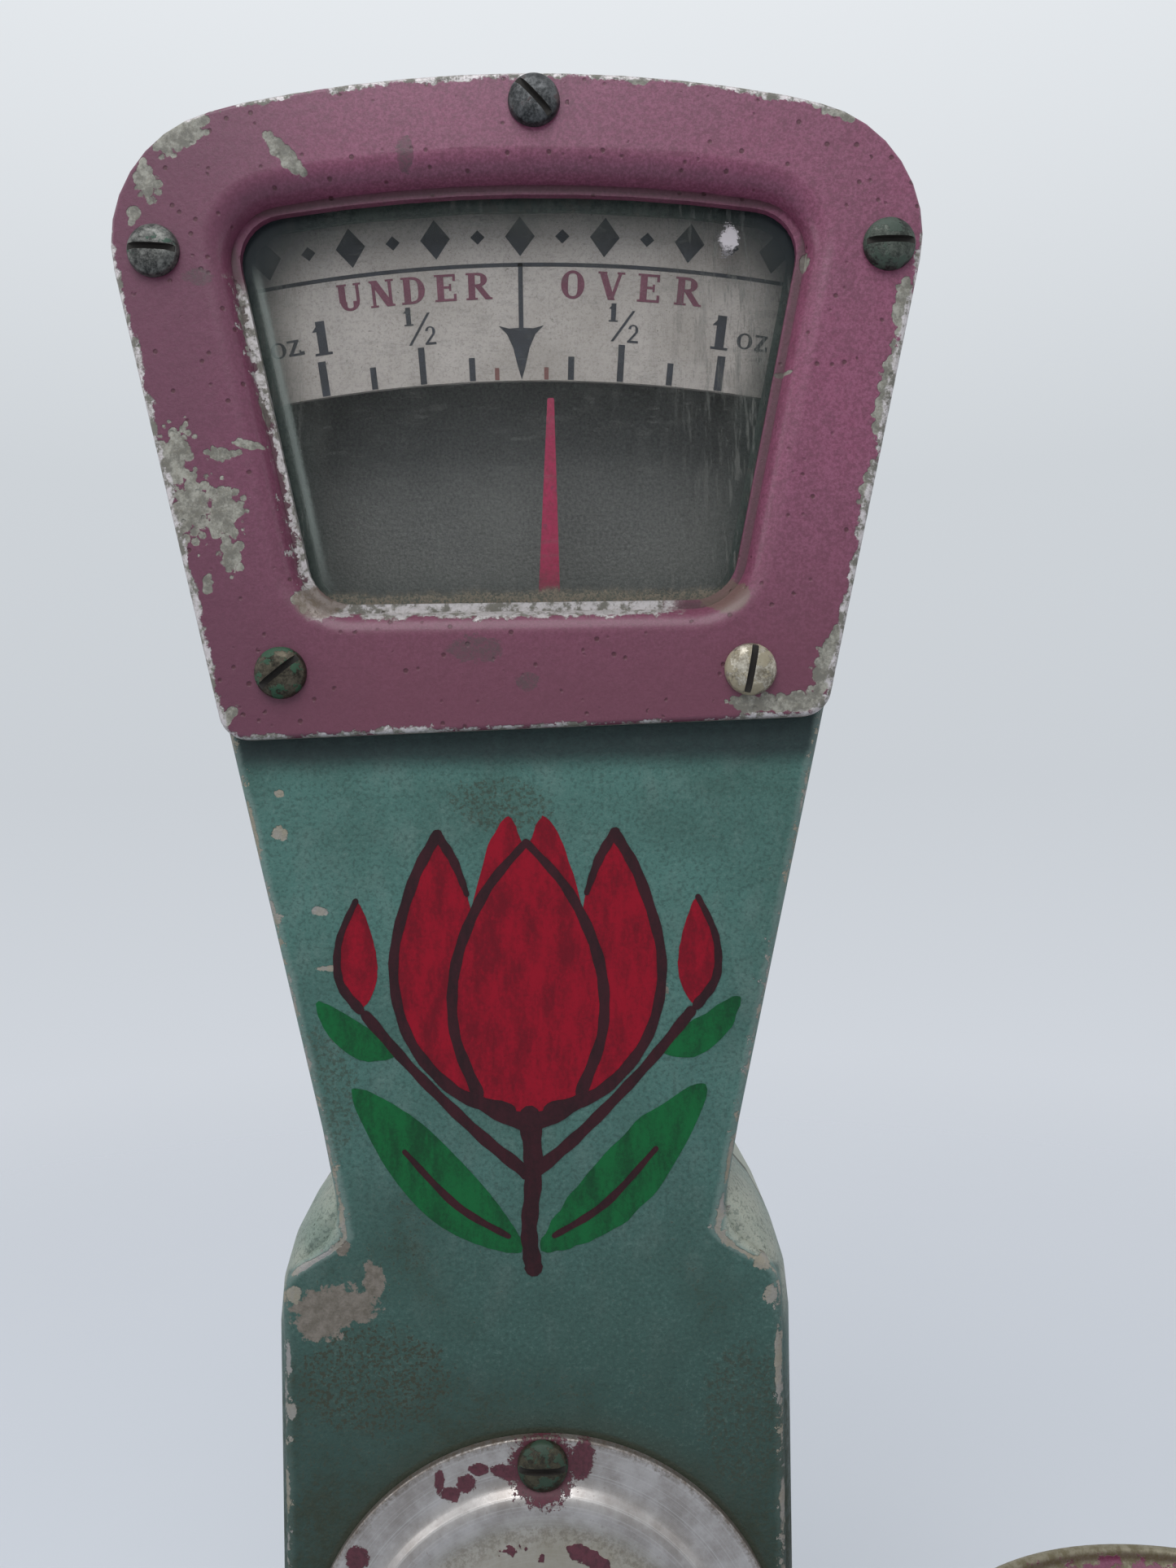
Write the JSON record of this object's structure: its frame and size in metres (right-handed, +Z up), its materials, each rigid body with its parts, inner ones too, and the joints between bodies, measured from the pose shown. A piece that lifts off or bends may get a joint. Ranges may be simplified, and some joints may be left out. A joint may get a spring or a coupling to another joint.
{
  "type": "letter scale",
  "caption": "Even-balance over-and-under scale: fan-headed dial tower between a goods pan and a weight plate on a parallel-motion beam in a cast base.",
  "frame": {"origin": "on the surface it stands on, under the middle of the base", "axes": "+X to the goods pan at the right, +Y to the back, +Z up; the dial faces -Y"},
  "size_m": [0.41, 0.15, 0.4132],
  "materials": {
    "sage_paint": "worn hand-applied sage green paint over cast aluminium",
    "mauve_paint": "worn mauve metallic paint, chipped to primer and bare metal",
    "cream_paint": "worn cream paint",
    "window_glass": "dusty clear glass",
    "retainer_steel": "dull greenish sheet",
    "chart_enamel": "aged off-white print on sheet metal",
    "pointer_red": "magenta-red paint",
    "spun_aluminium": "spun and worn, with paint remnants",
    "dark_screw": "dark oxidised steel",
    "pale_screw": "worn nickel plating",
    "plain_steel": "plain machined steel",
    "cast_iron": "painted cast iron",
    "brass": "dull brass",
    "black_rubber": "matte black rubber"
  },
  "bodies": {
    "root": {"tower_casting": "sage_paint", "base_casting": "sage_paint", "bezel_frame": "mauve_paint", "rear_cover": "cream_paint", "window_glass": "window_glass", "glass_retainer": "retainer_steel", "dial_chart": "chart_enamel", "access_cover": "spun_aluminium", "bezel_screw_top": "dark_screw", "bezel_screw_left": "dark_screw", "bezel_screw_right": "dark_screw", "bezel_screw_lower_left": "dark_screw", "bezel_screw_lower_right": "pale_screw", "access_cover_screw_1": "dark_screw", "access_cover_screw_2": "dark_screw", "access_cover_screw_3": "dark_screw", "rear_cover_screw_low_left": "dark_screw", "rear_cover_screw_low_right": "dark_screw", "rear_cover_screw_high_left": "dark_screw", "rear_cover_screw_high_right": "dark_screw", "chart_screw_left": "brass", "chart_screw_right": "brass", "tower_screw_front_left": "plain_steel", "tower_screw_front_right": "plain_steel", "tower_screw_rear_left": "plain_steel", "tower_screw_rear_right": "plain_steel", "bottom_plate": "plain_steel", "foot_front_left": "black_rubber", "foot_front_right": "black_rubber", "foot_rear_left": "black_rubber", "foot_rear_right": "black_rubber", "fulcrum_stand": "cast_iron", "check_pin_centre": "plain_steel", "stem_collar_left": "brass", "stem_collar_right": "brass", "stop_screw_left": "plain_steel", "stop_screw_right": "plain_steel", "pointer_bracket": "cast_iron", "dashpot_cup": "brass"},
    "beam": {"beam": "cast_iron", "fulcrum_knife": "plain_steel", "end_knife_left": "plain_steel", "end_knife_right": "plain_steel", "sensitivity_weight": "brass"},
    "balance_nut": {"balance_nut": "brass"},
    "check_link": {"check_link": "cast_iron"},
    "carrier_left": {"pan_carrier_left": "cast_iron", "pan_support_left": "cast_iron", "check_pin_left": "plain_steel"},
    "carrier_right": {"pan_carrier_right": "cast_iron", "pan_support_right": "cast_iron", "check_pin_right": "plain_steel"},
    "goods_pan": {"goods_pan": "mauve_paint"},
    "weight_plate": {"weight_plate": "sage_paint"},
    "pointer": {"pointer": "pointer_red", "pointer_crank": "brass", "pointer_axle": "plain_steel"},
    "connecting_link": {"connecting_link": "brass"},
    "dashpot_plunger": {"dashpot_plunger": "plain_steel"}
  },
  "joints": [
    {"name": "beam_rock", "type": "hinge", "parent": "root", "child": "beam", "pos_m": [0, 0, 0.05], "axis": [0, 1, 0], "range_deg": [-3, 3], "stiffness_Nm_per_rad": 0.72},
    {"name": "check_link_rock", "type": "hinge", "parent": "root", "child": "check_link", "pos_m": [0, 0, 0.024], "axis": [0, 1, 0], "range_deg": [-3, 3]},
    {"name": "carrier_left_level", "type": "hinge", "parent": "beam", "child": "carrier_left", "pos_m": [-0.136, 0, 0.05], "axis": [0, 1, 0], "range_deg": [-3, 3]},
    {"name": "carrier_right_level", "type": "hinge", "parent": "beam", "child": "carrier_right", "pos_m": [0.136, 0, 0.05], "axis": [0, 1, 0], "range_deg": [-3, 3]},
    {"name": "pointer_swing", "type": "hinge", "parent": "root", "child": "pointer", "pos_m": [0, 0, 0.113], "axis": [0, 1, 0], "range_deg": [-8.19, 8.19]},
    {"name": "connecting_link_level", "type": "hinge", "parent": "beam", "child": "connecting_link", "pos_m": [0.02, 0, 0.05], "axis": [0, 1, 0], "range_deg": [-3, 3]},
    {"name": "plunger_level", "type": "hinge", "parent": "beam", "child": "dashpot_plunger", "pos_m": [-0.05857, 0.032, 0.05], "axis": [0, 1, 0], "range_deg": [-3, 3]},
    {"name": "balance_nut_slide", "type": "slide", "parent": "beam", "child": "balance_nut", "axis": [1, 0, 0], "range_m": [-0.01, 0.01]},
    {"name": "goods_pan_lift", "type": "slide", "parent": "carrier_right", "child": "goods_pan", "axis": [0, 0, 1], "range_m": [0, 0.08]},
    {"name": "weight_plate_lift", "type": "slide", "parent": "carrier_left", "child": "weight_plate", "axis": [0, 0, 1], "range_m": [0, 0.08]}
  ],
  "couplings": [
    {"joint": "check_link_rock", "follows": "beam_rock", "ratio": 1},
    {"joint": "carrier_left_level", "follows": "beam_rock", "ratio": -1},
    {"joint": "carrier_right_level", "follows": "beam_rock", "ratio": -1},
    {"joint": "pointer_swing", "follows": "beam_rock", "ratio": 2.73},
    {"joint": "connecting_link_level", "follows": "beam_rock", "ratio": -1},
    {"joint": "plunger_level", "follows": "beam_rock", "ratio": -1}
  ]
}
